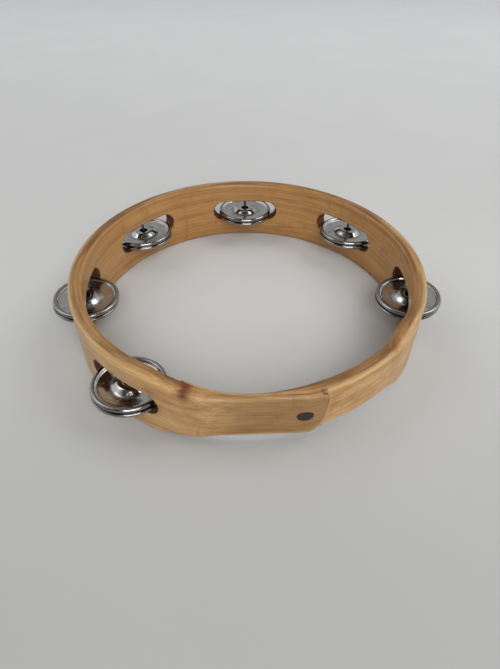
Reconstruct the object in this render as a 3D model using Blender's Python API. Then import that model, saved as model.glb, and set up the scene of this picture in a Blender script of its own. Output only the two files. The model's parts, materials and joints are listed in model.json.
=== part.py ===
# A headless wooden tambourine with a single row of jingles: one bent strip of wood, lap-jointed
# at the narrowed grip, and six pairs of stamped steel jingles loose on steel pins.
# Metres, +Z up. The hoop lies flat. Plan angles are in degrees from +X, anticlockwise.

import math

import bmesh
import bpy
from mathutils import Euler, Matrix, Vector

# Hoop
hoopRadius = 0.127
hoopHeight = 0.0508
wallThickness = 0.0095
edgeRound = 0.003
cornerSteps = 2
turnStep = 4.0
fineTurnStep = 3.0

# Grip: both edges are cut back and the hoop sits flatter beside the lap
gripCut = 0.0086
gripSpan = (238.0, 267.0, 317.5, 327.0)
gripFlattening = 0.0033
flattenedSpan = (270.0, 295.0, 301.0, 345.0)

# Lap joint: the outer end is a tongue glued over the inner end and planed flat outside
lapStart = 252.0
lapEnd = 292.5
lapShareAtStart = 0.085
lapShareAtEnd = 0.81
glueGap = 0.0003
shoulderTurn = 0.15
shoulderLength = 0.1
planedDistance = 0.1222
planedFacing = 273.2
planedBlend = 0.001
tongueDrop = 0.0009
tongueDropSpan = (275.0, 287.0)
tongueLowRound = (4.6, 0.66)
tongueHighRound = (1.8, 0.14)

# Jingle slots and pins
pairAngles = (-2.6, 44.2, 91.9, 139.3, 185.7, 232.8)
pairCount = len(pairAngles)
pinRadiusInPlan = 0.1216
slotLength = 0.057
slotBottom = 0.0168
slotTop = 0.0344
slotEndSteps = 6
pinDiameter = 0.002
pinLow = 0.0004
pinHigh = 0.0435
pinPoint = 0.003
pinHeadDiameter = 0.0042
pinHeadThickness = 0.0012
pinSides = 12
clearance = 0.0003

# Jingles: each pair lies back to back, bosses outwards
jingleRadius = 0.024
jingleHoleRadius = 0.0031
sheetThickness = 0.0007
bossFlatRadius = 0.0070
bossFootRadius = 0.0110
bossHeight = 0.0038
troughRadius = 0.0196
rimInnerRadius = 0.0210
rimGap = 0.0006
rimHeight = 0.0034
rimBevel = 0.0008
touchGap = 0.00015
jingleSides = 24
pairMiddle = 0.0226

# How each pair lies in its slot: outward lean and sideways lean in degrees, then how far
# the lower and the upper jingle have slid outwards from the pin
restPoses = (
    (-2.4, 0.5, -0.0008, -0.0004),
    (3.8, -0.4, 0.0000, -0.0002),
    (2.8, 0.2, -0.0007, -0.0010),
    (3.2, 0.5, -0.0003, -0.0005),
    (-1.8, -0.5, -0.0004, -0.0010),
    (-3.2, 0.6, -0.0010, -0.0013),
)


def clearScene():
    for thing in list(bpy.data.objects):
        bpy.data.objects.remove(thing, do_unlink=True)


def makeMaterial(name, colour, roughness, metallic):
    material = bpy.data.materials.new(name)
    material.use_nodes = True
    shader = material.node_tree.nodes["Principled BSDF"]
    shader.inputs["Base Color"].default_value = (*colour, 1.0)
    shader.inputs["Roughness"].default_value = roughness
    shader.inputs["Metallic"].default_value = metallic
    return material


def makeObject(name, shape, material, parent, smoothAngle=35.0):
    bmesh.ops.recalc_face_normals(shape, faces=shape.faces)
    mesh = bpy.data.meshes.new(name)
    shape.to_mesh(mesh)
    shape.free()
    mesh.shade_smooth()
    mesh.set_sharp_from_angle(angle=math.radians(smoothAngle))
    thing = bpy.data.objects.new(name, mesh)
    bpy.context.scene.collection.objects.link(thing)
    thing.parent = parent
    if material:
        mesh.materials.append(material)
    return thing


def smoothStep(share):
    share = min(max(share, 0.0), 1.0)
    return share * share * (3 - 2 * share)


def plateau(angle, riseStart, riseEnd, fallStart, fallEnd):
    rise = smoothStep((angle - riseStart) / (riseEnd - riseStart))
    fall = smoothStep((angle - fallStart) / (fallEnd - fallStart))
    return rise * (1 - fall)


def smoothMinimum(first, second, blend):
    share = min(max(0.5 + 0.5 * (second - first) / blend, 0.0), 1.0)
    return second + (first - second) * share - blend * share * (1 - share)


def innerFace(angle):
    flattening = gripFlattening * plateau(angle, *flattenedSpan)
    return hoopRadius - wallThickness - flattening


# The tongue's outer face: the hoop's round, planed flat across the lap
def tongueFace(angle):
    dropStart, dropEnd = tongueDropSpan
    drop = tongueDrop * smoothStep((angle - dropStart) / (dropEnd - dropStart))
    planed = planedDistance / math.cos(math.radians(angle - planedFacing))
    return smoothMinimum(hoopRadius - drop, planed, planedBlend)


# The radius of the glue line between the two ends of the strip
def lapLine(angle):
    along = (angle - lapStart) / (lapEnd - lapStart)
    share = lapShareAtStart + (lapShareAtEnd - lapShareAtStart) * along
    return innerFace(angle) + share * (tongueFace(angle) - innerFace(angle))


# How far a quarter-round end has closed in, from 0 at its start to 1 at the strip's end
def endRounding(turn, end, length):
    along = min(max((turn - (end - length)) / length, 0.0), 1.0)
    return 1 - math.sqrt(1 - along * along)


def arcCorner(centreRadius, centreHeight, radius, startQuarter):
    points = []
    for step in range(cornerSteps + 1):
        swing = math.radians(90 * (startQuarter + step / cornerSteps))
        reach = centreRadius + radius * math.cos(swing)
        points.append((reach, centreHeight + radius * math.sin(swing)))
    return points


# The strip's section at a turn: turns run from the inner end round the hoop to the tongue's end
def stripSection(turn):
    angle = turn % 360
    tongueTurn = turn - 360 - lapStart
    onTongue = tongueTurn > -shoulderTurn
    underTongue = turn < lapEnd
    inner = innerFace(angle)
    outer = inner + wallThickness
    cut = gripCut * plateau(angle, *gripSpan)
    low = cut
    high = hoopHeight - cut
    if onTongue:
        inner = lapLine(max(angle, lapStart)) + glueGap / 2
        outer = tongueFace(angle)
        depth = high - low
        lowLength, lowShare = tongueLowRound
        highLength, highShare = tongueHighRound
        low += depth * lowShare * endRounding(turn, lapEnd + 360, lowLength)
        high -= depth * highShare * endRounding(turn, lapEnd + 360, highLength)
    if underTongue:
        outer = lapLine(angle) - glueGap / 2
    rounding = min(edgeRound, 0.4 * (outer - inner))
    gluedRounding = glueGap / 3
    innerRounding = gluedRounding if onTongue else rounding
    outerRounding = gluedRounding if underTongue else rounding
    section = arcCorner(inner + innerRounding, low + innerRounding, innerRounding, 2)
    section += arcCorner(outer - outerRounding, low + outerRounding, outerRounding, 3)
    section += arcCorner(outer - outerRounding, high - outerRounding, outerRounding, 0)
    section += arcCorner(inner + innerRounding, high - innerRounding, innerRounding, 1)
    return section


def stripTurns():
    marks = (
        (lapStart, fineTurnStep),
        (lapEnd - glueGap, 0.4),
        (lapEnd + 0.4, fineTurnStep),
        (gripSpan[3] + 3, turnStep),
        (360 + gripSpan[0] - 3, fineTurnStep),
        (360 + lapStart - shoulderTurn - shoulderLength, shoulderLength),
        (360 + lapStart - shoulderTurn + glueGap, fineTurnStep),
        (360 + lapEnd - tongueLowRound[0], 0.7),
        (360 + lapEnd - 0.35, 0.2),
        (360 + lapEnd, 1.0),
    )
    turns = []
    for (start, step), (end, _) in zip(marks, marks[1:]):
        count = max(1, round((end - start) / step))
        for index in range(count):
            turns.append(start + (end - start) * index / count)
    turns.append(marks[-1][0])
    return turns


def polar(radius, angle, height):
    swing = math.radians(angle)
    return Vector((radius * math.cos(swing), radius * math.sin(swing), height))


def sweepStrip():
    shape = bmesh.new()
    previous = None
    for turn in stripTurns():
        ring = [shape.verts.new(polar(reach, turn, height)) for reach, height in stripSection(turn)]
        count = len(ring)
        if previous is None:
            shape.faces.new(ring)
        else:
            for index in range(count):
                after = (index + 1) % count
                shape.faces.new((previous[index], ring[index], ring[after], previous[after]))
        previous = ring
    shape.faces.new(reversed(previous))
    return shape


# A turned solid about Z, from a closed outline of (radius, height); an outline that starts and
# ends on the axis closes there
def turnSolid(shape, outline, sides, place):
    rings = []
    for radius, height in outline:
        if radius == 0:
            rings.append([shape.verts.new(place @ Vector((0, 0, height)))] * sides)
            continue
        points = [polar(radius, 360 * side / sides, height) for side in range(sides)]
        rings.append([shape.verts.new(place @ point) for point in points])
    closed = outline[0][0] != 0
    pairs = list(zip(rings, rings[1:]))
    if closed:
        pairs.append((rings[-1], rings[0]))
    for first, second in pairs:
        for side in range(sides):
            after = (side + 1) % sides
            corners = (first[side], first[after], second[after], second[side])
            shape.faces.new(list(dict.fromkeys(corners)))


# A straight-through slot with round ends, wider than the wall on both sides
def addSlotCutter(shape, index):
    halfHeight = (slotTop - slotBottom) / 2
    middle = (slotTop + slotBottom) / 2
    straight = slotLength / 2 - halfHeight
    outline = []
    for side in (1, -1):
        for step in range(slotEndSteps + 1):
            swing = math.radians(-90 + 180 * step / slotEndSteps)
            along = side * (straight + halfHeight * math.cos(swing))
            outline.append((along, middle + side * halfHeight * math.sin(swing)))
    turnTo = Matrix.Rotation(math.radians(pairAngles[index]), 4, "Z")
    faces = []
    for reach in (hoopRadius - 3 * wallThickness, hoopRadius + 2 * wallThickness):
        loop = [shape.verts.new(turnTo @ Vector((reach, along, height))) for along, height in outline]
        faces.append(loop)
    near, far = faces
    count = len(outline)
    shape.faces.new(near)
    shape.faces.new(reversed(far))
    for spot in range(count):
        after = (spot + 1) % count
        shape.faces.new((near[spot], far[spot], far[after], near[after]))


def pinPlace(index):
    return Matrix.Translation(polar(pinRadiusInPlan, pairAngles[index], 0))


def addPinHole(shape, index):
    holeRadius = pinDiameter / 2 + clearance
    boreRadius = pinHeadDiameter / 2 + clearance
    boreTop = pinLow + pinHeadThickness + clearance
    outline = (
        (0, -0.001),
        (boreRadius, -0.001),
        (boreRadius, boreTop),
        (holeRadius, boreTop),
        (holeRadius, pinHigh + 2 * clearance),
        (0, pinHigh + 2 * clearance),
    )
    turnSolid(shape, outline, pinSides, pinPlace(index))


def cutHoop(hoop, name, addCutter, parent):
    shape = bmesh.new()
    for index in range(pairCount):
        addCutter(shape, index)
    cutter = makeObject(name, shape, None, parent)
    cutter.hide_render = True
    cutter.display_type = "WIRE"
    cut = hoop.modifiers.new(name, "BOOLEAN")
    cut.operation = "DIFFERENCE"
    cut.solver = "EXACT"
    cut.object = cutter


def makePin(index, material, parent):
    headRadius = pinHeadDiameter / 2
    outline = (
        (0, pinLow),
        (headRadius, pinLow),
        (headRadius, pinLow + pinHeadThickness),
        (pinDiameter / 2, pinLow + pinHeadThickness),
        (pinDiameter / 2, pinHigh - pinPoint),
        (0, pinHigh),
    )
    shape = bmesh.new()
    turnSolid(shape, outline, pinSides, Matrix.Identity(4))
    pin = makeObject(f"nail_{index + 1}", shape, material, parent)
    pin.location = pinPlace(index).translation


# One jingle with its boss along +Z, above the plane where the pair meets
def jingleMesh():
    inner = touchGap
    outline = (
        (jingleHoleRadius, bossHeight - sheetThickness),
        (bossFlatRadius, bossHeight - sheetThickness),
        (bossFootRadius, inner),
        (troughRadius, inner),
        (rimInnerRadius, rimGap),
        (jingleRadius - rimBevel, rimGap),
        (jingleRadius, rimGap + rimBevel),
        (jingleRadius, rimHeight - rimBevel),
        (jingleRadius - rimBevel, rimHeight),
        (rimInnerRadius + rimBevel, rimHeight),
        (troughRadius, inner + sheetThickness),
        (bossFootRadius, inner + sheetThickness),
        (bossFlatRadius, bossHeight),
        (jingleHoleRadius, bossHeight),
    )
    shape = bmesh.new()
    turnSolid(shape, outline, jingleSides, Matrix.Identity(4))
    return shape


def makePair(index, material, parent):
    outwardLean, sideLean, lowerSlide, upperSlide = restPoses[index]
    spin = math.radians(pairAngles[index])
    lean = Euler((math.radians(sideLean), math.radians(outwardLean), 0)).to_matrix()
    facing = Matrix.Rotation(spin, 3, "Z")
    lower = makeObject(f"lower_jingle_{index + 1}", jingleMesh(), material, parent)
    lower.data.transform(Matrix.Rotation(math.pi, 4, "X"))
    lower.location = polar(pinRadiusInPlan + lowerSlide, pairAngles[index], pairMiddle)
    lower.rotation_euler = (facing @ lean).to_euler()
    upper = makeObject(f"upper_jingle_{index + 1}", jingleMesh(), material, lower)
    upper.location = (upperSlide - lowerSlide, 0, 0)


# Puts the middle of the whole object's footprint over the origin, and its lowest point at zero
def centreOnOrigin(rig):
    bpy.context.view_layer.update()
    depsgraph = bpy.context.evaluated_depsgraph_get()
    corners = []
    for thing in bpy.data.objects:
        if thing.type != "MESH" or thing.hide_render:
            continue
        evaluated = thing.evaluated_get(depsgraph)
        corners += [thing.matrix_world @ vertex.co for vertex in evaluated.data.vertices]
    low = Vector(min(corner[axis] for corner in corners) for axis in range(3))
    high = Vector(max(corner[axis] for corner in corners) for axis in range(3))
    middle = (low + high) / 2
    rig.location = (-middle.x, -middle.y, -low.z)


def build():
    clearScene()
    wood = makeMaterial("wood", (0.47, 0.27, 0.11), 0.42, 0.0)
    nickel = makeMaterial("nickel_steel", (0.62, 0.62, 0.60), 0.16, 1.0)
    darkSteel = makeMaterial("dark_steel", (0.05, 0.045, 0.04), 0.45, 0.9)
    rig = bpy.data.objects.new("tambourine", None)
    bpy.context.scene.collection.objects.link(rig)
    hoop = makeObject("hoop", sweepStrip(), wood, rig)
    cutHoop(hoop, "slot_cutters", addSlotCutter, rig)
    cutHoop(hoop, "pin_hole_cutters", addPinHole, rig)
    for index in range(pairCount):
        makePin(index, darkSteel, rig)
        makePair(index, nickel, rig)
    centreOnOrigin(rig)


build()
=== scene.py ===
import json
import math

import bpy
import numpy as np
from mathutils import Matrix, Vector


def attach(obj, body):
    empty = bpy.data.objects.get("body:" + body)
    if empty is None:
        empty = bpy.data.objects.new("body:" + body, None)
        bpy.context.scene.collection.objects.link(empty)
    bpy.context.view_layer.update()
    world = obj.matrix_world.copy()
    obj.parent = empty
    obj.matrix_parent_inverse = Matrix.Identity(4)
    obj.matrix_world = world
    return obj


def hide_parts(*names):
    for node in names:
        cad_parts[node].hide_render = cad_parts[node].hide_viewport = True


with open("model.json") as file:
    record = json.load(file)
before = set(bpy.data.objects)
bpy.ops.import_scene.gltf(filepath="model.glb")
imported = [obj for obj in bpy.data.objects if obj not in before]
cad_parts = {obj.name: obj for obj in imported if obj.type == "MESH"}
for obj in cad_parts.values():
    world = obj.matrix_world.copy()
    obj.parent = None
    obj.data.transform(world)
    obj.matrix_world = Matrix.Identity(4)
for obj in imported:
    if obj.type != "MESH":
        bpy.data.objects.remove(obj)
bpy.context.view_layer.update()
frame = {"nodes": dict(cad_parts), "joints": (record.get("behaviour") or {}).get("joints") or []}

# The hoop's middle in the frame; all is in metres and degrees, and turns go anticlockwise from +X
hoopMiddle = Vector((-0.0002081, -0.0104837, 0.0))


# Small helpers for modelling

def deselectAll():
    if bpy.context.object and bpy.context.object.mode != "OBJECT":
        bpy.ops.object.mode_set(mode="OBJECT")
    bpy.ops.object.select_all(action="DESELECT")


def makeActive(thing):
    deselectAll()
    thing.select_set(True)
    bpy.context.view_layer.objects.active = thing


def startEditing(thing, part="VERT"):
    makeActive(thing)
    bpy.ops.object.mode_set(mode="EDIT")
    bpy.ops.mesh.select_mode(type=part)


def stopEditing():
    bpy.ops.object.mode_set(mode="OBJECT")


def applyPlace(thing):
    makeActive(thing)
    bpy.ops.object.transform_apply(location=True, rotation=True, scale=True)


def applyModifier(thing, kind, **settings):
    modifier = thing.modifiers.new(kind.title(), kind)
    for key, value in settings.items():
        setattr(modifier, key, value)
    makeActive(thing)
    bpy.ops.object.modifier_apply(modifier=modifier.name)


def readCorners(mesh):
    corners = np.empty(len(mesh.vertices) * 3, np.float32)
    mesh.vertices.foreach_get("co", corners)
    return corners.reshape(-1, 3).astype(float)


def writeCorners(mesh, corners):
    mesh.vertices.foreach_set("co", corners.astype(np.float32).ravel())
    mesh.update()


def storeVector(mesh, name, values):
    attribute = mesh.attributes.new(name, "FLOAT_VECTOR", "POINT")
    attribute.data.foreach_set("vector", np.stack(values, axis=1).astype(np.float32).ravel())


# Edit mode with only the wanted vertices, edges or faces selected
def selectParts(thing, part, wanted):
    startEditing(thing, part)
    bpy.ops.mesh.select_all(action="DESELECT")
    stopEditing()
    mesh = thing.data
    for item in {"VERT": mesh.vertices, "EDGE": mesh.edges, "FACE": mesh.polygons}[part]:
        item.select = bool(wanted(item))
    bpy.ops.object.mode_set(mode="EDIT")


def faceOutwards(thing, merge=0.000001):
    startEditing(thing)
    bpy.ops.mesh.select_all(action="SELECT")
    bpy.ops.mesh.remove_doubles(threshold=merge)
    bpy.ops.mesh.normals_make_consistent(inside=False)
    stopEditing()


def shadeSoft(thing, degrees):
    makeActive(thing)
    bpy.ops.object.shade_smooth_by_angle(angle=math.radians(degrees))


# A turned shape: a ring extruded and resized from each (radius, height) to the next
def turnShape(name, outline, sides, capEnds=True):
    deselectAll()
    firstRadius, firstHeight = outline[0]
    bpy.ops.mesh.primitive_circle_add(
        vertices=sides, radius=firstRadius, location=(0, 0, firstHeight))
    thing = bpy.context.object
    thing.name = name
    applyPlace(thing)
    startEditing(thing)
    bpy.ops.mesh.select_all(action="SELECT")
    if capEnds:
        bpy.ops.mesh.edge_face_add()
    for (radius, height), (nextRadius, nextHeight) in zip(outline, outline[1:]):
        bpy.ops.mesh.extrude_region_move(
            TRANSFORM_OT_translate={"value": (0, 0, nextHeight - height)})
        grow = nextRadius / radius
        bpy.ops.transform.resize(value=(grow, grow, 1), center_override=(0, 0, nextHeight))
    stopEditing()
    faceOutwards(thing)
    return thing


# Fills every open loop of a mesh with one face
def closeOpenEnds(thing):
    startEditing(thing, "EDGE")
    bpy.ops.mesh.select_all(action="DESELECT")
    bpy.ops.mesh.select_non_manifold(extend=False, use_wire=False, use_boundary=True,
                                     use_multi_face=False, use_non_contiguous=False, use_verts=False)
    bpy.ops.mesh.edge_face_add()
    stopEditing()
    faceOutwards(thing)


def cutAway(thing, cutters):
    makeActive(cutters[0])
    for cutter in cutters[1:]:
        cutter.select_set(True)
    if len(cutters) > 1:
        bpy.ops.object.join()
    joined = bpy.context.object
    applyModifier(thing, "BOOLEAN", operation="DIFFERENCE", solver="EXACT", object=joined)
    removePiece(joined)


def copyPiece(master, name):
    piece = master.copy()
    piece.data = master.data.copy()
    piece.name = name
    piece.data.name = name
    bpy.context.scene.collection.objects.link(piece)
    return piece


def removePiece(thing):
    mesh = thing.data
    bpy.data.objects.remove(thing)
    bpy.data.meshes.remove(mesh)


# Small helpers for materials

def addNode(tree, kind, inputs=None, **settings):
    made = tree.nodes.new(kind)
    for key, value in settings.items():
        setattr(made, key, value)
    for key, value in (inputs or {}).items():
        if isinstance(value, bpy.types.NodeSocket):
            tree.links.new(value, made.inputs[key])
        else:
            made.inputs[key].default_value = value
    return made


def doMath(tree, operation, *values):
    return addNode(tree, "ShaderNodeMath", dict(enumerate(values)), operation=operation).outputs[0]


# 0 below low, 1 above high, smooth between; low may be above high to turn it round
def rampBetween(tree, value, low, high, toLow=0.0, toHigh=1.0):
    inputs = {"Value": value, "From Min": low, "From Max": high, "To Min": toLow, "To Max": toHigh}
    return addNode(tree, "ShaderNodeMapRange", inputs, interpolation_type="SMOOTHSTEP").outputs[0]


def mixColours(tree, share, first, second, blend="MIX"):
    inputs = {0: share, 6: first, 7: second}
    made = addNode(tree, "ShaderNodeMix", inputs, data_type="RGBA", blend_type=blend)
    return made.outputs[2]


def tint(tree, colour, mask, share, other):
    return mixColours(tree, times(tree, mask, share), colour, other)


def times(tree, first, second):
    return doMath(tree, "MULTIPLY", first, second)


# A base value and a share of another on top
def plusShare(tree, base, value, share):
    return doMath(tree, "ADD", base, times(tree, value, share))


def addNoise(tree, place, scale=1.0, detail=2.0, roughness=0.5, distortion=0.0):
    inputs = {"Vector": place, "Scale": scale, "Detail": detail, "Roughness": roughness,
              "Distortion": distortion}
    return addNode(tree, "ShaderNodeTexNoise", inputs).outputs["Fac"]


# Noise drawn out along one axis by a different scale on each
def stretchedNoise(tree, place, stretch, detail=2.0, roughness=0.5):
    made = addNode(tree, "ShaderNodeVectorMath", {0: place, 1: stretch}, operation="MULTIPLY")
    return addNoise(tree, made.outputs[0], 1.0, detail, roughness)


# A distance whose outline noise makes ragged
def roughen(tree, distance, noise, amount):
    return plusShare(tree, distance, doMath(tree, "SUBTRACT", noise, 0.5), amount)


def readParts(tree, vector):
    parts = addNode(tree, "ShaderNodeSeparateXYZ", {0: vector}).outputs
    return parts["X"], parts["Y"], parts["Z"]


def readAttribute(tree, name):
    return addNode(tree, "ShaderNodeAttribute", attribute_name=name).outputs["Vector"]


def joinParts(tree, **parts):
    return addNode(tree, "ShaderNodeCombineXYZ", parts).outputs[0]


def addVectors(tree, first, second):
    return addNode(tree, "ShaderNodeVectorMath", {0: first, 1: second}, operation="ADD").outputs[0]


def lengthOf(tree, vector):
    return addNode(tree, "ShaderNodeVectorMath", {0: vector}, operation="LENGTH").outputs["Value"]


def addRelief(tree, shader, height, bump):
    made = addNode(tree, "ShaderNodeBump", {"Height": height, **bump})
    tree.links.new(made.outputs[0], shader.inputs["Normal"])


def newGroup(name, inputs, outputs):
    tree = bpy.data.node_groups.new(name, "ShaderNodeTree")
    for label, kind, value in inputs:
        socket = tree.interface.new_socket(label, in_out="INPUT", socket_type=kind)
        if value is not None:
            socket.default_value = value
    for label, kind in outputs:
        tree.interface.new_socket(label, in_out="OUTPUT", socket_type=kind)
    entry = tree.nodes.new("NodeGroupInput")
    leave = tree.nodes.new("NodeGroupOutput")
    return tree, entry.outputs, leave.inputs


def newMaterial(name, **shaderValues):
    material = bpy.data.materials.new(name)
    material.use_nodes = True
    shader = material.node_tree.nodes["Principled BSDF"]
    for key, value in shaderValues.items():
        shader.inputs[key].default_value = value
    return material, material.node_tree, shader


# A colour as a screen shows it, 0 to 255, as the shader wants it
def toLinear(red, green, blue):
    def one(value):
        value /= 255
        return value / 12.92 if value <= 0.04045 else ((value + 0.055) / 1.055) ** 2.4

    return (one(red), one(green), one(blue), 1.0)


# Effects that several materials use

# Soft uneven patches, for stain, tarnish, handling smudges and rust
def makePatches():
    tree, entry, leave = newGroup(
        "unevenPatches",
        [("Place", "NodeSocketVector", None), ("Size", "NodeSocketFloat", 40.0),
         ("From", "NodeSocketFloat", 0.4), ("To", "NodeSocketFloat", 0.6)],
        [("Mask", "NodeSocketFloat")])
    broad = addNoise(tree, entry["Place"], entry["Size"], 4.0, 0.55, 0.4)
    tree.links.new(rampBetween(tree, broad, entry["From"], entry["To"]), leave["Mask"])
    return tree


# Thin broken lines along the place's first axis, for wood pores and for wipe marks on metal
def makeFineLines():
    tree, entry, leave = newGroup(
        "fineLines",
        [("Place", "NodeSocketVector", None), ("Stretch", "NodeSocketVector", (60.0, 2000.0, 2000.0)),
         ("From", "NodeSocketFloat", 0.6), ("To", "NodeSocketFloat", 0.75)],
        [("Mask", "NodeSocketFloat")])
    lines = stretchedNoise(tree, entry["Place"], entry["Stretch"], 1.5, 0.5)
    tree.links.new(rampBetween(tree, lines, entry["From"], entry["To"]), leave["Mask"])
    return tree


unevenPatches = makePatches()
fineLines = makeFineLines()
print("effects made")


def patchMask(tree, place, size, low, high):
    inputs = {"Place": place, "Size": size, "From": low, "To": high}
    return addNode(tree, "ShaderNodeGroup", inputs, node_tree=unevenPatches).outputs["Mask"]


def lineMask(tree, place, stretch, low, high):
    inputs = {"Place": place, "Stretch": stretch, "From": low, "To": high}
    return addNode(tree, "ShaderNodeGroup", inputs, node_tree=fineLines).outputs["Mask"]


# Hoop: one strip bent round, its ends lapped and glued at the grip

hoopSettings = {
    "radius": 0.127,
    "height": 0.0508,
    "thickness": 0.0095,
    "edgeRound": 0.003,
    "edgeSegments": 5,
    "rowSpacing": 0.0022,
    "turnStep": 1.0,
    "gripCut": 0.0086,  # how far both edges are cut back at the grip
    "gripSpan": (238.0, 267.0, 317.5, 327.0),  # turns where it starts, is full, lessens and ends
    "flattening": 0.0033,  # how far the wall is pushed in right of the lap
    "flattenedSpan": (270.0, 295.0, 301.0, 345.0),
    "lapStart": 252.0,
    "lapEnd": 292.5,
    "lapShares": (0.085, 0.81),  # of the wall under the tongue, at the lap's start and end
    "glueGap": 0.0003,
    "shoulderTurn": 0.15,
    "planedDistance": 0.1222,  # from the hoop's middle to the tongue's flat
    "planedFacing": 273.2,
    "planedBlend": 0.001,
    "tongueDrop": 0.0009,
    "tongueDropSpan": (275.0, 287.0),
    "tongueFade": (255.0, 271.0),
    "lowRound": (4.6, 0.66),  # the tongue's lower corner: its length in degrees, its share of the height
    "highRound": (1.8, 0.14),
    "endSteps": ((5.0, 0.35), (0.7, 0.1), (0.1, 0.03)),  # degrees before the tongue's end, step from there
    "seamSpan": 9.0,  # degrees either side of the tongue's end where its outline is looked for
    "seamPoints": 60,
    "farAway": 0.02,
    "softAngle": 32,
}

slotSettings = {
    "angles": (-2.6, 44.2, 91.9, 139.3, 185.7, 232.8),
    "length": 0.057,
    "bottom": 0.0168,
    "top": 0.0344,
    "endSides": 64,
    "easing": ((0.0, 0.00045), (0.00013, 0.00016), (0.00045, 0.0)),  # depth below the face, widening
    "reach": 0.006,  # how far the cutter goes past each face
}


def smoothStep(share):
    share = np.clip(share, 0.0, 1.0)
    return share * share * (3 - 2 * share)


# 0 outside the span, 1 between its inner turns
def plateau(angle, riseStart, riseEnd, fallStart, fallEnd):
    rise = smoothStep((angle - riseStart) / (riseEnd - riseStart))
    fall = smoothStep((angle - fallStart) / (fallEnd - fallStart))
    return rise * (1 - fall)


def innerFace(angle):
    wood = hoopSettings
    return wood["radius"] - wood["thickness"] - wood["flattening"] * plateau(angle, *wood["flattenedSpan"])


# The tongue's outer face: the hoop's round, planed flat across the lap
def tongueFace(angle):
    wood = hoopSettings
    dropStart, dropEnd = wood["tongueDropSpan"]
    rounded = wood["radius"] - wood["tongueDrop"] * smoothStep((angle - dropStart) / (dropEnd - dropStart))
    offset = np.clip(angle - wood["planedFacing"], -60, 60)
    planed = wood["planedDistance"] / np.cos(np.radians(offset))
    blend = wood["planedBlend"]
    share = np.clip(0.5 + 0.5 * (planed - rounded) / blend, 0.0, 1.0)
    return planed + (rounded - planed) * share - blend * share * (1 - share)


# The middle of the glue, slanting outwards through the lap
def lapLine(angle):
    wood = hoopSettings
    along = (angle - wood["lapStart"]) / (wood["lapEnd"] - wood["lapStart"])
    first, last = wood["lapShares"]
    return innerFace(angle) + (first + (last - first) * along) * (tongueFace(angle) - innerFace(angle))


# A quarter ellipse, 0 until length before the end and 1 at it
def endRounding(turn, end, length):
    along = np.clip((turn - (end - length)) / length, 0.0, 1.0)
    return 1 - np.sqrt(1 - along * along)


# The strip's section at each turn, from the inner end round the hoop to the tongue's end
def stripSection(turn):
    wood = hoopSettings
    angle = turn % 360
    onTongue = turn - 360 - wood["lapStart"] > -wood["shoulderTurn"]
    underTongue = turn < wood["lapEnd"]
    cut = wood["gripCut"] * plateau(angle, *wood["gripSpan"])
    depth = wood["height"] - 2 * cut
    lowLength, lowShare = wood["lowRound"]
    highLength, highShare = wood["highRound"]
    end = wood["lapEnd"] + 360
    low = cut + np.where(onTongue, depth * lowShare * endRounding(turn, end, lowLength), 0)
    high = wood["height"] - cut
    high = high - np.where(onTongue, depth * highShare * endRounding(turn, end, highLength), 0)
    glued = lapLine(np.maximum(angle, wood["lapStart"]))
    inner = np.where(onTongue, glued + wood["glueGap"] / 2, innerFace(angle))
    outer = np.where(onTongue, tongueFace(angle), innerFace(angle) + wood["thickness"])
    outer = np.where(underTongue, lapLine(angle) - wood["glueGap"] / 2, outer)
    rounding = np.minimum(wood["edgeRound"], 0.4 * (outer - inner))
    gluedRounding = wood["glueGap"] / 3
    return {
        "inner": inner, "outer": outer, "low": low, "high": high,
        "innerRounding": np.where(onTongue, gluedRounding, rounding),
        "outerRounding": np.where(underTongue, gluedRounding, rounding),
    }


# Where the sections stand: a degree apart, and closer where the strip's ends are shaped
def stripTurns():
    wood = hoopSettings
    start, end, step = wood["lapStart"], wood["lapEnd"], wood["turnStep"]
    shoulder = 360 + start - wood["shoulderTurn"]
    marks = [(start, step), (end - 0.02, 0.02), (end, step), (shoulder - 0.1, 0.1), (shoulder + 0.01, step)]
    marks += [(360 + end - before, closer) for before, closer in wood["endSteps"]]
    marks += [(360 + end, step)]
    turns = []
    for (first, spacing), (last, _) in zip(marks, marks[1:]):
        count = max(1, round((last - first) / spacing))
        turns += list(np.linspace(first, last, count, endpoint=False))
    return np.array(turns + [360 + end])


# A short length of the strip: a block with rounded long edges, rows along its faces and open ends
def makeStripLength():
    wood = hoopSettings
    deselectAll()
    bpy.ops.mesh.primitive_cube_add(size=1, location=(0.5, 0.5, 0.5))
    strip = bpy.context.object
    strip.name = "hoopStrip"
    strip.scale = (1, wood["thickness"], wood["height"])
    strip.location = (0.5, wood["thickness"] / 2, wood["height"] / 2)
    applyPlace(strip)
    corners = strip.data.vertices

    def runsAlong(edge):
        first, second = (corners[index].co for index in edge.vertices)
        return abs(first.x - second.x) > 0.5

    selectParts(strip, "EDGE", runsAlong)
    bpy.ops.mesh.bevel(offset=wood["edgeRound"], segments=wood["edgeSegments"], affect="EDGES")
    stopEditing()
    selectParts(strip, "FACE", lambda face: abs(face.normal.x) > 0.9)
    bpy.ops.mesh.delete(type="ONLY_FACE")
    flat = wood["height"] - 2 * wood["edgeRound"]
    rows = round(flat / wood["rowSpacing"])
    for row in range(1, rows):
        bpy.ops.mesh.select_all(action="SELECT")
        height = wood["edgeRound"] + flat * row / rows
        bpy.ops.mesh.bisect(plane_co=(0, 0, height), plane_no=(0, 0, 1))
    for row in (1, 2):
        bpy.ops.mesh.select_all(action="SELECT")
        depth = wood["edgeRound"] + (wood["thickness"] - 2 * wood["edgeRound"]) * row / 3
        bpy.ops.mesh.bisect(plane_co=(0, depth, 0), plane_no=(0, 1, 0))
    stopEditing()
    return strip


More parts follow.
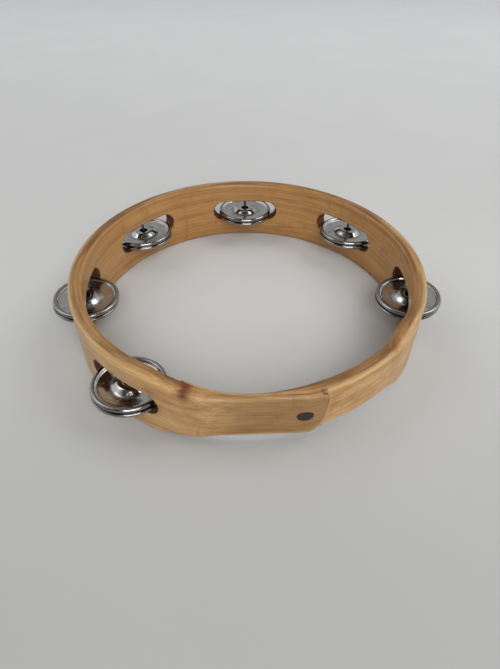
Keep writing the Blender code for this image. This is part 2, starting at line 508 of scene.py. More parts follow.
# Bends the straight strip round the hoop: its length becomes turn, its thickness and height the section
def bendStrip(strip, turns):
    wood = hoopSettings
    corners = readCorners(strip.data)
    turn = turns[np.rint(corners[:, 0]).astype(int)]
    section = stripSection(turn)
    thickness, height, edge = wood["thickness"], wood["height"], wood["edgeRound"]
    across, up = corners[:, 1], corners[:, 2]
    inner = section["inner"] + section["innerRounding"]
    outer = section["outer"] - section["outerRounding"]
    middleShare = (across - edge) / (thickness - 2 * edge)
    reach = inner + (outer - inner) * middleShare
    reach = np.where(across < edge, section["inner"] + section["innerRounding"] * across / edge, reach)
    fromOuter = (thickness - across) / edge
    rounded = section["outer"] - section["outerRounding"] * fromOuter
    reach = np.where(across > thickness - edge, rounded, reach)
    rounding = np.where(across < thickness / 2, section["innerRounding"], section["outerRounding"])
    low, high = section["low"] + rounding, section["high"] - rounding
    placed = low + (high - low) * (up - edge) / (height - 2 * edge)
    placed = np.where(up < edge, section["low"] + rounding * up / edge, placed)
    placed = np.where(up > height - edge, section["high"] - rounding * (height - up) / edge, placed)
    swing = np.radians(turn)
    corners[:, 0] = hoopMiddle.x + reach * np.cos(swing)
    corners[:, 1] = hoopMiddle.y + reach * np.sin(swing)
    corners[:, 2] = placed
    writeCorners(strip.data, corners)


# A slot cutter: a drum stretched to the slot's outline, widening where it leaves each face of the wall
def makeSlotCutter(angle):
    slot = slotSettings
    radius = (slot["top"] - slot["bottom"]) / 2
    middle = (slot["top"] + slot["bottom"]) / 2
    straight = slot["length"] / 2 - radius
    outside = hoopSettings["radius"]
    inside = outside - hoopSettings["thickness"]
    easing = slot["easing"]
    stations = [(inside, -slot["reach"], easing[0][1])]
    stations += [(inside, depth, widening) for depth, widening in easing]
    stations += [(outside, -depth, widening) for depth, widening in reversed(easing)]
    stations += [(outside, slot["reach"], easing[0][1])]
    last = len(stations) - 1
    deselectAll()
    bpy.ops.mesh.primitive_cylinder_add(
        vertices=slot["endSides"], radius=1, depth=last,
        rotation=(0, math.pi / 2, 0), location=(last / 2, 0, 0))
    cutter = bpy.context.object
    applyPlace(cutter)
    startEditing(cutter)
    for station in range(1, last):
        bpy.ops.mesh.select_all(action="SELECT")
        bpy.ops.mesh.bisect(plane_co=(station, 0, 0), plane_no=(1, 0, 0))
    stopEditing()
    corners = readCorners(cutter.data)
    station = np.rint(corners[:, 0]).astype(int)
    face, shift, widening = np.array(stations)[station].T
    sideways, up = corners[:, 1], corners[:, 2]
    size = radius + widening
    end = np.where(np.abs(sideways) < 0.001, 0, np.sign(sideways))
    along = end * straight + size * sideways
    reach = np.sqrt(face ** 2 - along ** 2) + shift
    placed = np.stack([reach, along, middle + size * up], axis=1)
    writeCorners(cutter.data, placed)
    cutter.data.transform(Matrix.Translation(hoopMiddle) @ Matrix.Rotation(math.radians(angle), 4, "Z"))
    faceOutwards(cutter)
    return cutter


def pinPlace(index):
    swing = math.radians(slotSettings["angles"][index])
    reach = pinSettings["radiusInPlan"]
    return Matrix.Translation(hoopMiddle + Vector((reach * math.cos(swing), reach * math.sin(swing), 0)))


pinSettings = {
    "radiusInPlan": 0.1216,
    "low": 0.0004,
    "high": 0.0435,
    "shank": 0.001,
    "head": 0.0021,
    "headThickness": 0.0012,
    "point": 0.003,
    "boreSlack": 0.00006,
    "boreLip": 0.0006,
    "boreLipTop": 0.00025,
    "sides": 28,
    "softAngle": 40,
    "turnEach": 71,
}


def makePinBore(index):
    pin = pinSettings
    bore = pin["shank"] + pin["boreSlack"]
    sink = pin["head"] + pin["boreSlack"] * 3
    sinkTop = pin["low"] + pin["headThickness"] + pin["boreSlack"]
    lip = pin["boreLip"]
    outline = [(sink + lip, -lip), (sink, pin["boreLipTop"]), (sink, sinkTop), (bore, sinkTop),
               (bore, pin["high"])]
    cutter = turnShape(f"pinBore{index}", outline, pin["sides"])
    closeOpenEnds(cutter)
    cutter.data.transform(pinPlace(index))
    return cutter


# How far each point of the hoop's face is from the outline of the tongue's end
def seamReach(angle, height):
    wood = hoopSettings
    end, points = wood["lapEnd"], wood["seamPoints"]
    lowTurns = np.linspace(end - wood["lowRound"][0] - 2, end, points)
    highTurns = np.linspace(end - wood["highRound"][0], end, points // 2)
    low = stripSection(lowTurns + 360)["low"]
    high = stripSection(highTurns + 360)["high"]
    outlineTurns = np.concatenate([lowTurns, np.full(points, end), highTurns])
    outlineHeights = np.concatenate([low, np.linspace(low[-1], high[-1], points), high])
    reach = np.full(len(angle), wood["farAway"])
    close = np.abs(angle - end) < wood["seamSpan"]
    sideways = np.radians(angle[close][:, None] - outlineTurns[None, :]) * wood["radius"]
    up = height[close][:, None] - outlineHeights[None, :]
    reach[close] = np.minimum(np.hypot(sideways, up).min(axis=1), wood["farAway"])
    return reach


# What the wood's pattern follows: the place along, up and through the strip, and marks on it
def markStrip(strip):
    wood = hoopSettings
    corners = readCorners(strip.data)
    plan = corners[:, :2] - np.array(hoopMiddle[:2])
    angle = np.degrees(np.arctan2(plan[:, 1], plan[:, 0])) % 360
    reach = np.hypot(plan[:, 0], plan[:, 1])
    inLap = (angle > wood["lapStart"] - wood["shoulderTurn"] - 0.02) & (angle < wood["lapEnd"] + 0.01)
    onTongue = inLap & (reach > lapLine(angle))
    turn = np.where(onTongue | ~inLap & (angle < wood["lapStart"]), angle + 360, angle)
    section = stripSection(turn)
    along = np.radians(turn) * (wood["radius"] - wood["thickness"] / 2)
    height = corners[:, 2]
    depth = wood["radius"] - reach
    nearEdge = np.minimum(height - section["low"], section["high"] - height)
    edgeShare = np.clip(1 - nearEdge / wood["edgeRound"], 0, 1)
    nearest = np.full(len(corners), 1.0)
    for slotAngle in slotSettings["angles"]:
        swing = math.radians(slotAngle)
        outward = plan[:, 0] * math.cos(swing) + plan[:, 1] * math.sin(swing)
        sideways = plan[:, 1] * math.cos(swing) - plan[:, 0] * math.sin(swing)
        closer = (outward > 0) & (np.abs(sideways) < nearest)
        nearest = np.where(closer, np.abs(sideways), nearest)
    fadeStart, fadeEnd = wood["tongueFade"]
    tongueShare = onTongue * smoothStep((turn - 360 - fadeStart) / (fadeEnd - fadeStart))
    storeVector(strip.data, "stripPlace", (along, height, depth))
    storeVector(strip.data, "stripMarks", (nearest, edgeShare, tongueShare))
    belowFace = section["outer"] - reach
    storeVector(strip.data, "seamMarks", (seamReach(angle, height), onTongue.astype(float), belowFace))


def makeHoop(material):
    turns = stripTurns()
    strip = makeStripLength()
    applyModifier(strip, "ARRAY", count=len(turns) - 1, use_relative_offset=True,
                  relative_offset_displace=(1, 0, 0), use_merge_vertices=True, merge_threshold=0.0001)
    for end in (0, len(turns) - 1):
        selectParts(strip, "VERT", lambda vertex: abs(vertex.co.x - end) < 0.01)
        bpy.ops.mesh.edge_face_add()
        stopEditing()
    bendStrip(strip, turns)
    faceOutwards(strip)
    cutAway(strip, [makeSlotCutter(angle) for angle in slotSettings["angles"]])
    cutAway(strip, [makePinBore(index) for index in range(len(slotSettings["angles"]))])
    markStrip(strip)
    strip.name = strip.data.name = "bentHoop"
    shadeSoft(strip, hoopSettings["softAngle"])
    strip.data.materials.clear()
    strip.data.materials.append(material)
    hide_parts("hoop")
    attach(strip, "hoop")
    print("hoop made:", len(strip.data.polygons), "faces")


woodSettings = {
    "lacquer": {"Specular IOR Level": 0.35, "Coat Roughness": 0.2, "Coat IOR": 1.45},
    "pale": toLinear(216, 176, 120),
    "honey": toLinear(194, 148, 90),
    # painted shade for the wall inside the ring
    "inner": toLinear(180, 132, 74),
    "streak": toLinear(148, 100, 52),
    "streakTint": (0.50, 0.39, 0.27, 1.0),
    # painted shade for the flat edges; also the colour of the stains
    "edge": toLinear(118, 80, 42),
    # the tongue's planed wood, partly painted shade on its front-facing face
    "tongue": toLinear(128, 92, 52),
    "pore": toLinear(104, 68, 36),
    # near black brown for the slot walls, partly painted shade, and for the tongue's dark outline
    "darkestBrown": toLinear(52, 28, 18),
    "burntEdge": toLinear(112, 60, 32),
    "knot": toLinear(98, 46, 24),
    "ink": toLinear(20, 4, 12),
    # noise: stretch along, up and through the strip, then detail and roughness
    "wanderNoise": ((9, 30, 30), 2.0),
    "wanderStep": 0.012,
    "streakNoise": ((5, 360, 360), 5.0, 0.62),
    "fibreNoise": ((28, 1100, 1100), 3.0, 0.6),
    "bandNoise": ((2.5, 60, 60), 3.0),
    "edgeNoise": ((14, 160, 160), 4.0, 0.6),
    "acrossNoise": ((150, 9, 9), 2.0),
    "knotNoise": ((160, 500, 500), 3.0),
    "acrossPatches": (17.0, 1.0),  # from here on: scale and detail
    "seamNoise": (600.0, 2.0),
    "burnNoise": (420.0, 3.0),
    "inkNoise": (1500.0, 2.0),
    # masks: size or stretch, then where the noise starts to show and where it is full
    "pores": ((95, 2600, 2600), 0.62, 0.74),
    "clouds": (26.0, 0.35, 0.68),
    "stains": (70.0, 0.56, 0.72),
    "nicks": (330.0, 0.7, 0.76),
    # ramps: from, to, and the values there when they aren't 0 and 1
    "insideShadeDepth": (0.0045, 0.008, 0.0, 0.75),
    "bandRange": (0.45, 0.7, 0.0, 0.4),
    "edgeRange": (0.36, 0.64, 0.2, 1.0),
    "flatEdgeShade": (0.55, 0.97),
    "cornerDepth": (0.0034, 0.0014),
    "cornerEdge": (0.05, 0.5),
    "streakRange": (0.42, 0.66, 0.0, 0.52),
    "fibreRange": (0.42, 0.72, 0.0, 0.38),
    "acrossRange": (0.6, 0.72, 0.0, 0.3),
    "acrossPatchRange": (0.5, 0.62),
    "tongueShare": 0.6,
    "cornerWearAndHighlightShare": 0.5,
    "poreShare": 0.45,
    "stainShare": 0.3,
    "nickShare": 0.5,
    # the tongue's outline, the knot and the painted shadow beside it, the slots (scorched rims, walls
    # darkened partly by painted shade) and the printed oval
    "seamWander": 0.0004,
    "seamWidth": (0.0010, 0.0004, 0.0, 0.7),
    "seamDepth": (0.0026, 0.0008),
    "knotPlace": (253.9, 0.0449),  # turn in degrees, and height
    "knotSize": (0.0033, 0.0034),
    "knotPush": (4.0, 0.4, 0.0, 0.0035),
    "knotRagged": 1.6,
    "knotHalo": (2.6, 0.9, 0.0, 0.6),
    "knotHeart": (1.6, 0.2, 0.0, 0.9),
    # a painted shadow along the inner top corner near the knot
    "shadowLinePlace": (250.6, 0.0475),
    "shadowLineSize": (0.0095, 0.0040),
    "shadowLineRagged": 0.9,
    "shadowLineFade": (1.2, 0.6, 0.0, 0.7),
    "shadowLineDepth": (0.0055, 0.0075),
    "slotWall": (0.0003, 0.00012),
    "burnRagged": 0.0016,
    "burnFade": (0.0013, 0.0002, 0.0, 0.6),
    "wallStreakRange": (0.4, 0.65),
    "darkWallShare": 0.9,
    "inkPlace": (286.3, 0.0251),
    "inkSize": (0.0051, 0.0041),
    "inkRagged": 0.16,
    "inkFade": (1.04, 0.96, 0.0, 0.97),
    "inkDepth": (0.006, 0.0045),
    # satin lacquer: roughness and coat, and what the grain adds to them
    "roughness": 0.36,
    "fibreRoughness": 0.16,
    "slotRoughness": 0.3,
    "coat": 0.2,
    "cloudCoat": 0.2,
    "fibreRelief": 0.5,
    "streakRelief": 1.2,
    "bump": {"Strength": 0.35, "Distance": 0.00012},
}


# The strip's own measure along, at a turn on the lap's outside
def alongAt(angle):
    wood = hoopSettings
    return math.radians(angle + 360) * (wood["radius"] - wood["thickness"] / 2)


# How far from the middle of an oval, 1 on its outline, in the strip's own measures
def ovalReach(tree, strip, middle, size):
    sideways = doMath(tree, "DIVIDE", doMath(tree, "SUBTRACT", strip["along"], alongAt(middle[0])), size[0])
    up = doMath(tree, "DIVIDE", doMath(tree, "SUBTRACT", strip["height"], middle[1]), size[1])
    return lengthOf(tree, joinParts(tree, X=sideways, Y=up))


# How far outside the nearest slot's outline, below 0 inside it
def slotDistance(tree, sideways, height):
    slot = slotSettings
    radius = (slot["top"] - slot["bottom"]) / 2
    middle = (slot["top"] + slot["bottom"]) / 2
    straight = slot["length"] / 2 - radius
    beyond = doMath(tree, "MAXIMUM", doMath(tree, "SUBTRACT", sideways, straight), 0.0)
    offMiddle = doMath(tree, "SUBTRACT", height, middle)
    return doMath(tree, "SUBTRACT", lengthOf(tree, joinParts(tree, X=beyond, Y=offMiddle)), radius)


# What markStrip stored, as sockets
def readStrip(tree):
    place = readAttribute(tree, "stripPlace")
    along, height, depth = readParts(tree, place)
    sideways, edge, tongue = readParts(tree, readAttribute(tree, "stripMarks"))
    seamAway, onTongue, belowFace = readParts(tree, readAttribute(tree, "seamMarks"))
    return {
        "place": place, "along": along, "height": height, "depth": depth, "edge": edge,
        "tongue": tongue, "seamAway": seamAway, "onTongue": onTongue, "belowFace": belowFace,
        "slotAway": slotDistance(tree, sideways, height),
    }


# The figure: long streaks, fibres and pores, which run round the knot
def drawFigure(tree, strip, knotReach):
    look = woodSettings
    push = rampBetween(tree, knotReach, *look["knotPush"])
    place = addVectors(tree, strip["place"], joinParts(tree, Y=push))
    wander = stretchedNoise(tree, place, *look["wanderNoise"])
    step = times(tree, doMath(tree, "SUBTRACT", wander, 0.5), look["wanderStep"])
    place = addVectors(tree, place, joinParts(tree, Y=step, Z=step))
    return {
        "streaks": stretchedNoise(tree, place, *look["streakNoise"]),
        "fibres": stretchedNoise(tree, place, *look["fibreNoise"]),
        "bands": stretchedNoise(tree, place, *look["bandNoise"]),
        "pores": lineMask(tree, place, *look["pores"]),
        "clouds": patchMask(tree, strip["place"], *look["clouds"]),
    }


# Pale outside; darker inside, which is painted shade; darkest on the flat edges, painted shade broken by
# streaks; the tongue browner, partly its planed wood and partly painted shade; pale at the outer corners,
# partly wear and partly a painted highlight
def colourFaces(tree, strip, figure):
    look = woodSettings
    colour = mixColours(tree, figure["clouds"], look["pale"], look["honey"])
    # painted shade: the wall inside the ring made darker and more orange
    inside = rampBetween(tree, strip["depth"], *look["insideShadeDepth"])
    colour = mixColours(tree, inside, colour, look["inner"])
    bands = rampBetween(tree, figure["bands"], *look["bandRange"])
    colour = mixColours(tree, bands, colour, look["streak"])
    # the tongue browner: partly its planed wood, partly painted shade
    colour = tint(tree, colour, strip["tongue"], look["tongueShare"], look["tongue"])
    edgeNoise = stretchedNoise(tree, strip["place"], *look["edgeNoise"])
    # painted shade: the flat top and bottom edges darkened, broken by streaky noise
    flatEdgeShade = times(tree, rampBetween(tree, strip["edge"], *look["flatEdgeShade"]),
                     rampBetween(tree, edgeNoise, *look["edgeRange"]))
    colour = mixColours(tree, flatEdgeShade, colour, look["edge"])
    # the outer rounded corners paler: partly wear, partly a painted highlight
    cornerWearAndHighlight = times(tree, rampBetween(tree, strip["belowFace"], *look["cornerDepth"]),
                   rampBetween(tree, strip["edge"], *look["cornerEdge"]))
    return tint(tree, colour, cornerWearAndHighlight, look["cornerWearAndHighlightShare"], look["pale"])


# Streaks, fibres and pores, stains, faint marks across the grain, and a few dark nicks
def colourGrain(tree, strip, figure, colour):
    look = woodSettings
    place = strip["place"]
    streaks = rampBetween(tree, figure["streaks"], *look["streakRange"])
    colour = mixColours(tree, streaks, colour, look["streakTint"], "MULTIPLY")
    fibres = rampBetween(tree, figure["fibres"], *look["fibreRange"])
    colour = mixColours(tree, fibres, colour, look["streak"])
    colour = tint(tree, colour, figure["pores"], look["poreShare"], look["pore"])
    stains = patchMask(tree, place, *look["stains"])
    colour = tint(tree, colour, stains, look["stainShare"], look["edge"])
    across = rampBetween(tree, stretchedNoise(tree, place, *look["acrossNoise"]), *look["acrossRange"])
    here = rampBetween(tree, addNoise(tree, place, *look["acrossPatches"]), *look["acrossPatchRange"])
    colour = mixColours(tree, times(tree, across, here), colour, look["pore"])
    nicks = patchMask(tree, place, *look["nicks"])
    return tint(tree, colour, nicks, look["nickShare"], look["pore"])


# A dark line along the outline of the tongue's glued end
def colourSeam(tree, strip, colour):
    look = woodSettings
    noise = addNoise(tree, strip["place"], *look["seamNoise"])
    away = plusShare(tree, strip["seamAway"], noise, look["seamWander"])
    share = times(tree, rampBetween(tree, away, *look["seamWidth"]),
                  rampBetween(tree, strip["belowFace"], *look["seamDepth"]))
    return mixColours(tree, share, colour, look["darkestBrown"])


# A reddish knot at the outer top corner, and a dark line of painted shadow along the inner one
def colourKnot(tree, strip, knotReach, colour):
    look = woodSettings
    noise = stretchedNoise(tree, strip["place"], *look["knotNoise"])
    knot = roughen(tree, knotReach, noise, look["knotRagged"])
    colour = mixColours(tree, rampBetween(tree, knot, *look["knotHalo"]), colour, look["streak"])
    colour = mixColours(tree, rampBetween(tree, knot, *look["knotHeart"]), colour, look["knot"])
    # painted shadow: a dark line along the inner top corner
    innerEdgeShadow = ovalReach(tree, strip, look["shadowLinePlace"], look["shadowLineSize"])
    innerEdgeShadow = roughen(tree, innerEdgeShadow, noise, look["shadowLineRagged"])
    share = times(tree, rampBetween(tree, innerEdgeShadow, *look["shadowLineFade"]),
                  rampBetween(tree, strip["depth"], *look["shadowLineDepth"]))
    return mixColours(tree, share, colour, look["knot"])


# Slot walls darkened: partly scorched by the cutter, partly painted shade; with a brown rim on the faces
def colourSlots(tree, strip, figure, inSlot, colour):
    look = woodSettings
    noise = addNoise(tree, strip["place"], *look["burnNoise"])
    away = roughen(tree, strip["slotAway"], noise, look["burnRagged"])
    colour = mixColours(tree, rampBetween(tree, away, *look["burnFade"]), colour, look["burntEdge"])
    # the slot walls: scorched wood, partly painted shade
    darkWallShare = rampBetween(tree, figure["streaks"], *look["wallStreakRange"])
    darkestBrown = mixColours(tree, darkWallShare, look["darkestBrown"], look["burntEdge"])
    return mixColours(tree, times(tree, inSlot, look["darkWallShare"]), colour, darkestBrown)


# A plain dark oval printed on the tongue
def colourInk(tree, strip, colour):
    look = woodSettings
    reach = ovalReach(tree, strip, look["inkPlace"], look["inkSize"])
    reach = roughen(tree, reach, addNoise(tree, strip["place"], *look["inkNoise"]), look["inkRagged"])
    outside = times(tree, rampBetween(tree, strip["depth"], *look["inkDepth"]), strip["onTongue"])
    share = times(tree, rampBetween(tree, reach, *look["inkFade"]), outside)
    return mixColours(tree, share, colour, look["ink"])


def makeWood():
    look = woodSettings
    material, tree, shader = newMaterial("lacqueredWood", **look["lacquer"])
    strip = readStrip(tree)
    knotReach = ovalReach(tree, strip, look["knotPlace"], look["knotSize"])
    figure = drawFigure(tree, strip, knotReach)
    inSlot = rampBetween(tree, strip["slotAway"], *look["slotWall"])
    colour = colourFaces(tree, strip, figure)
    colour = colourGrain(tree, strip, figure, colour)
    colour = colourSeam(tree, strip, colour)
    colour = colourKnot(tree, strip, knotReach, colour)
    colour = colourSlots(tree, strip, figure, inSlot, colour)
    colour = colourInk(tree, strip, colour)
    tree.links.new(colour, shader.inputs["Base Color"])
    rough = plusShare(tree, look["roughness"], figure["fibres"], look["fibreRoughness"])
    rough = plusShare(tree, rough, inSlot, look["slotRoughness"])
    tree.links.new(rough, shader.inputs["Roughness"])
    coat = plusShare(tree, look["coat"], figure["clouds"], look["cloudCoat"])
    coat = times(tree, doMath(tree, "SUBTRACT", 1.0, inSlot), coat)
    tree.links.new(coat, shader.inputs["Coat Weight"])
    relief = times(tree, figure["fibres"], look["fibreRelief"])
    relief = doMath(tree, "SUBTRACT", relief, figure["pores"])
    relief = plusShare(tree, relief, figure["streaks"], look["streakRelief"])
    addRelief(tree, shader, relief, look["bump"])
    return material


makeHoop(makeWood())


# Jingles: stamped nickelled discs, back to back in six pairs

jingleSettings = {
    # the sheet's middle line, from the hole to the rim's curled edge: radius and height in mm
    "outline": (
        (3.40, 3.42), (3.95, 3.45), (5.60, 3.45), (6.70, 3.40), (7.45, 3.10), (8.90, 1.95), (10.2, 0.92),
        (11.1, 0.56), (12.2, 0.50), (15.0, 0.56), (17.6, 0.74), (19.2, 0.95), (20.2, 1.20), (20.65, 1.75),
        (20.95, 2.45), (21.5, 2.95), (22.2, 3.08), (22.9, 2.96), (23.38, 2.52), (23.62, 1.90), (23.46, 1.28),
        (23.02, 0.92)),
    "sheet": 0.0007,
    "sides": 96,
    "lineEnd": -3,  # the curl's last points, which turn back under the rim
    "hollowReach": 0.0233,  # the hollow side is looked for within this radius
    "softAngle": 40,
    "turnEach": 57,  # degrees, so that no two look alike
}


# One jingle, boss up, its rim's lip at the bottom; the hollow side is marked for its tarnish and painted
# shade
def makeJingle():
    outline = [(radius / 1000, height / 1000) for radius, height in jingleSettings["outline"]]
    jingle = turnShape("jingle", outline, jingleSettings["sides"], capEnds=False)
    applyModifier(jingle, "SOLIDIFY", thickness=jingleSettings["sheet"], offset=0, use_even_offset=True)
    applyModifier(jingle, "SUBSURF", levels=1, render_levels=1)
    faceOutwards(jingle)
    corners = readCorners(jingle.data)
    reach = np.hypot(corners[:, 0], corners[:, 1])
    lineReach, lineHeight = np.array(outline[:jingleSettings["lineEnd"]]).T
    below = corners[:, 2] < np.interp(reach, lineReach, lineHeight)
    hollowTarnishAndShade = (below & (reach < jingleSettings["hollowReach"])).astype(float)
    storeVector(jingle.data, "discPlace", (corners[:, 0], corners[:, 1], corners[:, 2]))
    storeVector(jingle.data, "sheetSide", (hollowTarnishAndShade, 0 * hollowTarnishAndShade, 0 * hollowTarnishAndShade))
    shadeSoft(jingle, jingleSettings["softAngle"])
    return jingle


# The middle of a disc that the part has, from its corners
def cadMiddle(node):
    corners = np.unique(np.round(readCorners(frame["nodes"][node].data), 6), axis=0)
    return Vector(corners.mean(axis=0))


nickelSettings = {
    "bright": toLinear(194, 194, 192),
    "yellowed": toLinear(168, 160, 144),
    "tarnish": toLinear(92, 80, 66),
    # the hollow side: tarnish and painted shade between the discs
    "hollowTarnishAndShade": toLinear(70, 64, 58),
    # painted darker reflection for the rim's outer bead
    "rim": toLinear(128, 126, 122),
    # masks: size or stretch, then where the noise starts to show and where it is full
    "smudges": (85.0, 0.42, 0.66),
    "spots": (260.0, 0.60, 0.70),
    "wipes": ((120, 2400, 2400), 0.6, 0.78),
    "ringsPerMetre": 2600.0,
    "ringDetail": 2.0,
    # dirt round the boss's foot: where it rises and falls along the radius, and its patches
    "footRise": (0.0095, 0.0112),
    "footFall": (0.0135, 0.0118),
    "grimeNoise": (130.0, 3.0),
    "grimeRange": (0.42, 0.62),
    "rimReflectionDarkening": (0.0206, 0.0216, 0.0, 0.65),
    "smudgeShare": 0.35,
    "spotShare": 0.3,
    "grimeShare": 0.6,
    "hollowTarnishAndShadeShare": 0.85,
    "roughness": 0.11,
    "smudgeRoughness": 0.14,
    "wipeRoughness": 0.12,
    "grimeRoughness": 0.25,
    "ripple": (170.0, 2.0),
    "ringRelief": 0.12,
    "wipeRelief": -0.05,
    "bump": {"Strength": 0.5, "Distance": 0.00035},
}


def makeNickel():
    look = nickelSettings
    material, tree, shader = newMaterial("brightNickel", Metallic=1.0)
    place = addNode(tree, "ShaderNodeTexCoord").outputs["Object"]
    across, along, height = readParts(tree, readAttribute(tree, "discPlace"))
    swing = doMath(tree, "ARCTAN2", along, across)
    reach = lengthOf(tree, joinParts(tree, X=across, Y=along))
    smudges = patchMask(tree, place, *look["smudges"])
    spots = patchMask(tree, place, *look["spots"])
    wipes = lineMask(tree, place, *look["wipes"])
    # rings left by the stamping and polishing: they follow the radius
    ringPlace = joinParts(tree, X=times(tree, reach, look["ringsPerMetre"]), Y=swing, Z=height)
    rings = addNoise(tree, ringPlace, 1.0, look["ringDetail"])
    foot = times(tree, rampBetween(tree, reach, *look["footRise"]),
                 rampBetween(tree, reach, *look["footFall"]))
    grimeNoise = addNoise(tree, place, *look["grimeNoise"])
    grime = times(tree, foot, rampBetween(tree, grimeNoise, *look["grimeRange"]))
    colour = mixColours(tree, times(tree, smudges, look["smudgeShare"]), look["bright"], look["yellowed"])
    colour = tint(tree, colour, spots, look["spotShare"], look["tarnish"])
    colour = tint(tree, colour, grime, look["grimeShare"], look["tarnish"])
    # painted reflection: the rim's outer bead made darker grey
    colour = mixColours(tree, rampBetween(tree, reach, *look["rimReflectionDarkening"]), colour, look["rim"])
    # the hollow side, facing the other disc, darkened: partly tarnish, partly painted shade in the gap
    hollowTarnishAndShade = readParts(tree, readAttribute(tree, "sheetSide"))[0]
    colour = tint(tree, colour, hollowTarnishAndShade, look["hollowTarnishAndShadeShare"], look["hollowTarnishAndShade"])
    tree.links.new(colour, shader.inputs["Base Color"])
    rough = plusShare(tree, look["roughness"], smudges, look["smudgeRoughness"])
    rough = plusShare(tree, rough, wipes, look["wipeRoughness"])
    rough = plusShare(tree, rough, grime, look["grimeRoughness"])
    tree.links.new(rough, shader.inputs["Roughness"])
    relief = plusShare(tree, addNoise(tree, place, *look["ripple"]), rings, look["ringRelief"])
    relief = plusShare(tree, relief, wipes, look["wipeRelief"])
    addRelief(tree, shader, relief, look["bump"])
    return material


def placeJingles(material):
    master = makeJingle()
    master.data.materials.append(material)
    joints = {joint["name"]: joint for joint in frame["joints"]}
    for number in range(1, len(slotSettings["angles"]) + 1):
        joint = joints[f"jingle_{number}_spin"]
        axis = Vector(joint["axis"]).normalized()
        rest = Vector(joint["pos_m"])
        upright = axis.to_track_quat("Z", "X").to_matrix().to_4x4()
        for side in ("lower", "upper"):
            node = f"{side}_jingle_{number}"
            middle = cadMiddle(node)
            middle -= axis * (middle - rest).dot(axis)
            turned = Matrix.Rotation(math.radians(jingleSettings["turnEach"] * number), 4, "Z")
            if side == "lower":
                turned = Matrix.Rotation(math.pi, 4, "X") @ turned
            piece = copyPiece(master, f"{side}Jingle{number}")
            piece.data.transform(Matrix.Translation(middle) @ upright @ turned)
            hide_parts(node)
            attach(piece, node)
    removePiece(master)
    print("jingles placed")


placeJingles(makeNickel())


# Pins: dark wire nails driven up through the hoop's lower edge

def makePin():
    pin = pinSettings
    low, top = pin["low"], pin["high"]
    head, shank = pin["head"], pin["shank"]
    seat = low + pin["headThickness"]
    # from the head's flat, round its rim and up the shank to the point
    outline = [
        (head * 0.55, low), (head * 0.86, low + 0.00008), (head, low + 0.0003), (head, seat - 0.0003),
        (head * 0.9, seat - 0.00008), (shank * 1.25, seat), (shank, seat + 0.0004),
        (shank, 0.0150), (shank, 0.0300), (shank, top - pin["point"]),
        (shank * 0.45, top - 0.0009), (shank * 0.12, top)]
    piece = turnShape("pin", outline, pin["sides"])
    closeOpenEnds(piece)
    shadeSoft(piece, pin["softAngle"])
    return piece


steelSettings = {
    "dark": toLinear(74, 70, 66),
    "bare": toLinear(120, 115, 108),
    "rust": toLinear(96, 58, 36),
    # masks: size or stretch, then where the noise starts to show and where it is full
    "rustPatches": (380.0, 0.5, 0.68),
    "wornPatches": (900.0, 0.5, 0.75),
    "drawnLines": ((5200, 5200, 180), 0.5, 0.8),
    "wornShare": 0.5,
    "rustShare": 0.45,
    "roughness": 0.34,
    "rustRoughness": 0.3,
    "metallic": 0.95,
    "rustMetallic": -0.6,
    "rustRelief": 1.5,
    "bump": {"Strength": 0.4, "Distance": 0.00005},
}


def makeDarkSteel():
    look = steelSettings
    material, tree, shader = newMaterial("darkWire")
    place = addNode(tree, "ShaderNodeTexCoord").outputs["Object"]
    rust = patchMask(tree, place, *look["rustPatches"])
    worn = patchMask(tree, place, *look["wornPatches"])
    drawn = lineMask(tree, place, *look["drawnLines"])
    colour = mixColours(tree, times(tree, worn, look["wornShare"]), look["dark"], look["bare"])
    colour = tint(tree, colour, rust, look["rustShare"], look["rust"])
    tree.links.new(colour, shader.inputs["Base Color"])
    rough = plusShare(tree, look["roughness"], rust, look["rustRoughness"])
    tree.links.new(rough, shader.inputs["Roughness"])
    metallic = plusShare(tree, look["metallic"], rust, look["rustMetallic"])
    tree.links.new(metallic, shader.inputs["Metallic"])
    addRelief(tree, shader, plusShare(tree, drawn, rust, look["rustRelief"]), look["bump"])
    return material


def placePins(material):
    master = makePin()
    master.data.materials.append(material)
    for index in range(len(slotSettings["angles"])):
        piece = copyPiece(master, f"pin{index + 1}")
        turned = Matrix.Rotation(math.radians(pinSettings["turnEach"] * index), 4, "Z")
        piece.data.transform(pinPlace(index) @ turned)
        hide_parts(f"nail_{index + 1}")
        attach(piece, "hoop")
    removePiece(master)
    print("pins placed")


placePins(makeDarkSteel())


# Floor, light and camera

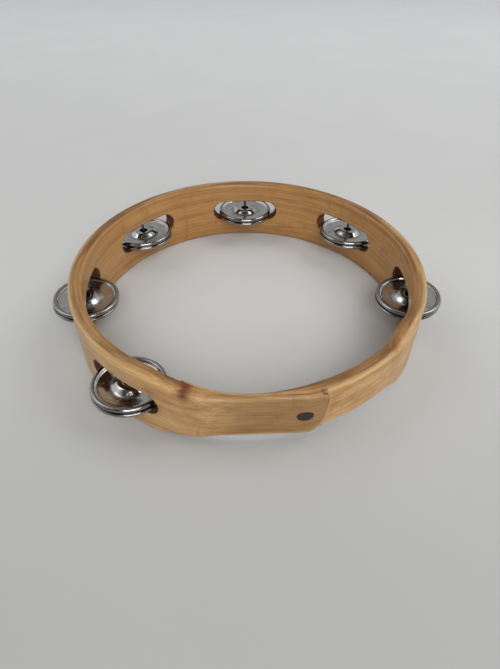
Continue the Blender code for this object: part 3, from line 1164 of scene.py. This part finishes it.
studioSettings = {
    "floorSize": 8.0,
    "floorRoughness": 0.55,
    # painted shade near the camera and painted light far off, in the floor's colour
    "floorNearShaded": toLinear(176, 176, 174),
    "floorMiddle": toLinear(206, 206, 204),
    "floorFarLit": toLinear(243, 243, 243),
    "nearSpan": (-0.26, 0.05),
    "farSpan": (0.05, 1.1),
    "floorShade": (0.3, 0.3, 0.3, 1.0),
    "floorPatches": (9.0, 0.3, 0.7),
    "patchShare": 0.04,
    "sky": (0.40, 0.41, 0.42, 1.0),
    "skySides": (0.80, 0.81, 0.82, 1.0),
    "skyFront": (0.16, 0.16, 0.16, 1.0),
    "skyDark": (0.06, 0.06, 0.06, 1.0),
    "sidesRange": (0.4, 0.75),
    "frontRange": (-0.1, -0.45),
    "darkTowards": (0.0, -0.40, 0.92),
    "darkRange": (0.80, 0.94),
    "worldStrength": 1.0,
    "lights": {
        "left": {"place": (-1.3, 0.25, 1.6), "aim": (0.0, 0.0, 0.0), "size": 1.0, "power": 4.0},
        "right": {"place": (1.3, 0.25, 1.6), "aim": (0.0, 0.0, 0.0), "size": 1.0, "power": 8.0},
        "front": {"place": (0.35, -1.78, 1.5), "aim": (0.0, 0.2, 0.0), "size": 1.5, "power": 38.0},
    },
    "cameraPlace": (0.001951, -0.311093, 0.260858),
    "cameraDown": 43.36,
    "cameraRoll": 0.66,
    "lens": 26.906,
    "sensor": 36,
    "nearest": 0.01,
}


# A pale floor with painted light and shade, darker near the camera and lighter further away, with faint
# uneven patches
def makeFloor():
    look = studioSettings
    deselectAll()
    bpy.ops.mesh.primitive_plane_add(size=look["floorSize"], location=(0, 0, 0))
    floor = bpy.context.object
    floor.name = "floor"
    material, tree, shader = newMaterial("paleFloor", Roughness=look["floorRoughness"])
    place = addNode(tree, "ShaderNodeTexCoord").outputs["Object"]
    away = readParts(tree, place)[1]
    # painted shade near the camera fading to painted light further away
    nearShadeFade = rampBetween(tree, away, *look["nearSpan"])
    colour = mixColours(tree, nearShadeFade, look["floorNearShaded"], look["floorMiddle"])
    colour = mixColours(tree, rampBetween(tree, away, *look["farSpan"]), colour, look["floorFarLit"])
    patches = patchMask(tree, place, *look["floorPatches"])
    colour = tint(tree, colour, patches, look["patchShare"], look["floorShade"])
    tree.links.new(colour, shader.inputs["Base Color"])
    floor.data.materials.append(material)


def addSoftLight(name, place, aim, size, power):
    light = bpy.data.lights.new(name, "AREA")
    light.shape = "SQUARE"
    light.size = size
    light.energy = power
    thing = bpy.data.objects.new(name, light)
    thing.location = place
    thing.rotation_euler = (Vector(aim) - Vector(place)).to_track_quat("-Z", "Y").to_euler()
    bpy.context.scene.collection.objects.link(thing)


# A sky that is bright at the sides and dark towards the front and above it
def makeSky():
    look = studioSettings
    world = bpy.data.worlds.new("studio")
    bpy.context.scene.world = world
    world.use_nodes = True
    tree = world.node_tree
    towards = addNode(tree, "ShaderNodeTexCoord").outputs["Generated"]
    across, away, _ = readParts(tree, towards)
    sideways = doMath(tree, "ABSOLUTE", across)
    sky = mixColours(tree, rampBetween(tree, sideways, *look["sidesRange"]), look["sky"], look["skySides"])
    sky = mixColours(tree, rampBetween(tree, away, *look["frontRange"]), sky, look["skyFront"])
    inputs = {0: towards, 1: Vector(look["darkTowards"]).normalized()}
    near = addNode(tree, "ShaderNodeVectorMath", inputs, operation="DOT_PRODUCT").outputs["Value"]
    sky = mixColours(tree, rampBetween(tree, near, *look["darkRange"]), sky, look["skyDark"])
    background = tree.nodes["Background"]
    tree.links.new(sky, background.inputs["Color"])
    background.inputs["Strength"].default_value = look["worldStrength"]


def makeStudio():
    makeFloor()
    for name, light in studioSettings["lights"].items():
        addSoftLight(name + "Light", **light)
    makeSky()
    bpy.context.scene.view_settings.view_transform = "Standard"


def makeCamera():
    look = studioSettings
    down, roll = math.radians(look["cameraDown"]), math.radians(look["cameraRoll"])
    forward = Vector((0, math.cos(down), -math.sin(down)))
    level, upright = Vector((1, 0, 0)), Vector((0, math.sin(down), math.cos(down)))
    sideways = math.cos(roll) * level + math.sin(roll) * upright
    up = math.cos(roll) * upright - math.sin(roll) * level
    turned = Matrix((sideways, up, -forward)).transposed().to_4x4()
    camera = bpy.data.objects.new("camera", bpy.data.cameras.new("camera"))
    camera.data.lens = look["lens"]
    camera.data.sensor_width = look["sensor"]
    camera.data.clip_start = look["nearest"]
    camera.matrix_world = Matrix.Translation(look["cameraPlace"]) @ turned
    bpy.context.scene.collection.objects.link(camera)
    bpy.context.scene.camera = camera


makeStudio()
makeCamera()
deselectAll()
print("studio ready")
